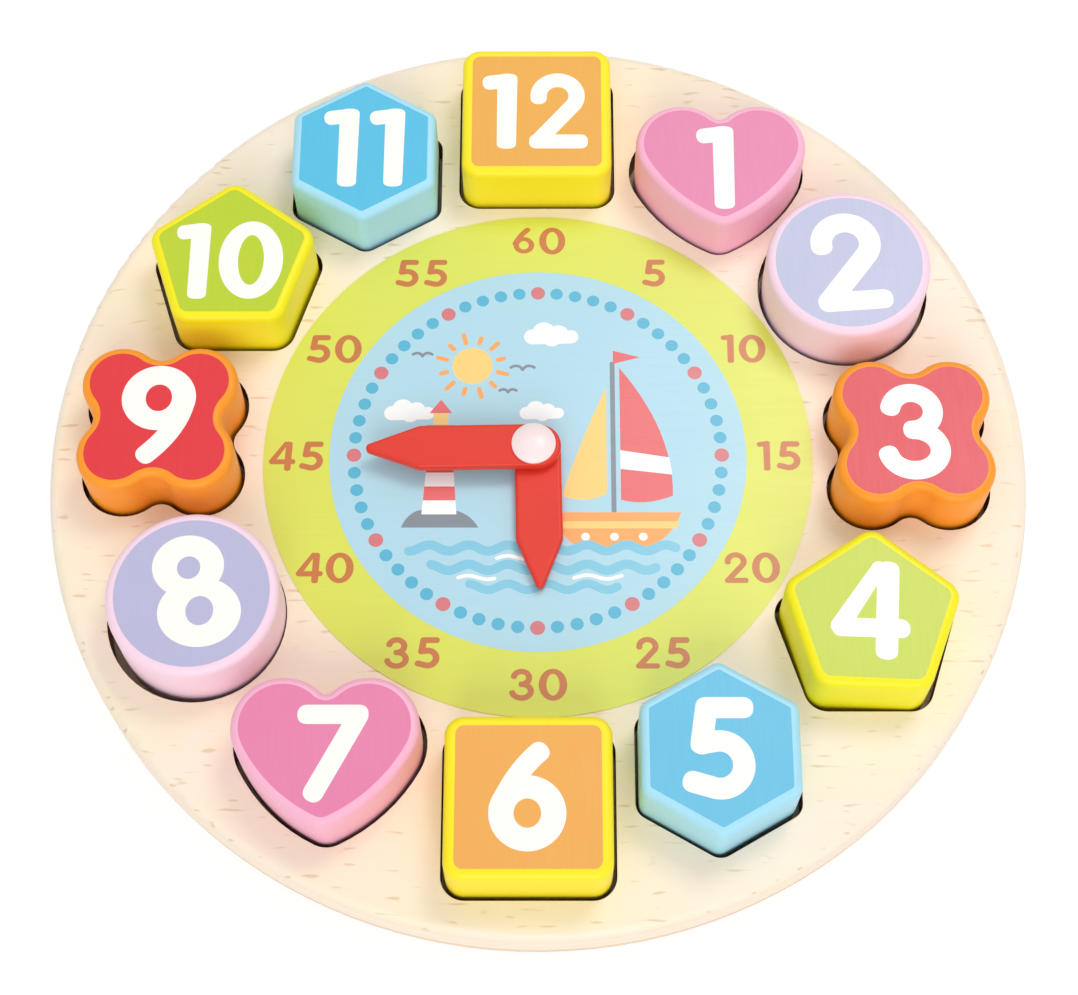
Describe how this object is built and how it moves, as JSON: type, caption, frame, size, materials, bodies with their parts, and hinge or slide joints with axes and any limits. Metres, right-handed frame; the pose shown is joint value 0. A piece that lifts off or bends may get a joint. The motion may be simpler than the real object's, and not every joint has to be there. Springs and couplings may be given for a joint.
{
  "type": "learning clock toy",
  "caption": "Round wooden learning clock with shaped number blocks that lift out of pockets round a printed dial, and two hands that turn freely on a capped pivot.",
  "frame": {"origin": "middle of the back face, which the clock lies on", "axes": "+Z out of the dial, +Y towards 12, +X towards 3"},
  "size_m": [0.2198, 0.2198, 0.0247],
  "materials": {
    "board_wood": "sanded pale beech, clear matt lacquer",
    "backing_wood": "thin plywood, bare and sanded",
    "dial_print": "printed layer, satin",
    "paint_yellow": "painted wood, satin",
    "paint_pink": "painted wood, satin",
    "paint_pale_pink": "painted wood, satin",
    "paint_orange": "painted wood, satin",
    "paint_lemon": "painted wood, satin",
    "paint_aqua": "painted wood, satin",
    "paint_red": "painted wood, satin",
    "washer_plastic": "plain nylon",
    "cap_plastic": "smooth, slightly shiny",
    "screw_steel": "zinc plated"
  },
  "bodies": {
    "board": {"face_board": "board_wood", "backing_plate": "backing_wood", "dial_print": "dial_print", "lower_washer": "washer_plastic", "upper_washer": "washer_plastic", "pivot_cap": "cap_plastic", "pivot_screw": "screw_steel"},
    "hour_hand": {"hour_hand": "paint_red"},
    "minute_hand": {"minute_hand": "paint_red"},
    "block_01": {"block_01_heart": "paint_pink"},
    "block_02": {"block_02_circle": "paint_pale_pink"},
    "block_03": {"block_03_quatrefoil": "paint_orange"},
    "block_04": {"block_04_pentagon": "paint_lemon"},
    "block_05": {"block_05_hexagon": "paint_aqua"},
    "block_06": {"block_06_square": "paint_yellow"},
    "block_07": {"block_07_heart": "paint_pink"},
    "block_08": {"block_08_circle": "paint_pale_pink"},
    "block_09": {"block_09_quatrefoil": "paint_orange"},
    "block_10": {"block_10_pentagon": "paint_lemon"},
    "block_11": {"block_11_hexagon": "paint_aqua"},
    "block_12": {"block_12_square": "paint_yellow"}
  },
  "joints": [
    {"name": "hour_hand_turn", "type": "hinge", "parent": "board", "child": "hour_hand", "pos_m": [0, 0, 0.013], "axis": [0, 0, 1], "continuous": true},
    {"name": "minute_hand_turn", "type": "hinge", "parent": "board", "child": "minute_hand", "pos_m": [0, 0, 0.016], "axis": [0, 0, 1], "continuous": true},
    {"name": "lift_01", "type": "slide", "parent": "board", "child": "block_01", "axis": [0, 0, 1], "range_m": [0, 0.03]},
    {"name": "lift_02", "type": "slide", "parent": "board", "child": "block_02", "axis": [0, 0, 1], "range_m": [0, 0.03]},
    {"name": "lift_03", "type": "slide", "parent": "board", "child": "block_03", "axis": [0, 0, 1], "range_m": [0, 0.03]},
    {"name": "lift_04", "type": "slide", "parent": "board", "child": "block_04", "axis": [0, 0, 1], "range_m": [0, 0.03]},
    {"name": "lift_05", "type": "slide", "parent": "board", "child": "block_05", "axis": [0, 0, 1], "range_m": [0, 0.03]},
    {"name": "lift_06", "type": "slide", "parent": "board", "child": "block_06", "axis": [0, 0, 1], "range_m": [0, 0.03]},
    {"name": "lift_07", "type": "slide", "parent": "board", "child": "block_07", "axis": [0, 0, 1], "range_m": [0, 0.03]},
    {"name": "lift_08", "type": "slide", "parent": "board", "child": "block_08", "axis": [0, 0, 1], "range_m": [0, 0.03]},
    {"name": "lift_09", "type": "slide", "parent": "board", "child": "block_09", "axis": [0, 0, 1], "range_m": [0, 0.03]},
    {"name": "lift_10", "type": "slide", "parent": "board", "child": "block_10", "axis": [0, 0, 1], "range_m": [0, 0.03]},
    {"name": "lift_11", "type": "slide", "parent": "board", "child": "block_11", "axis": [0, 0, 1], "range_m": [0, 0.03]},
    {"name": "lift_12", "type": "slide", "parent": "board", "child": "block_12", "axis": [0, 0, 1], "range_m": [0, 0.03]}
  ]
}
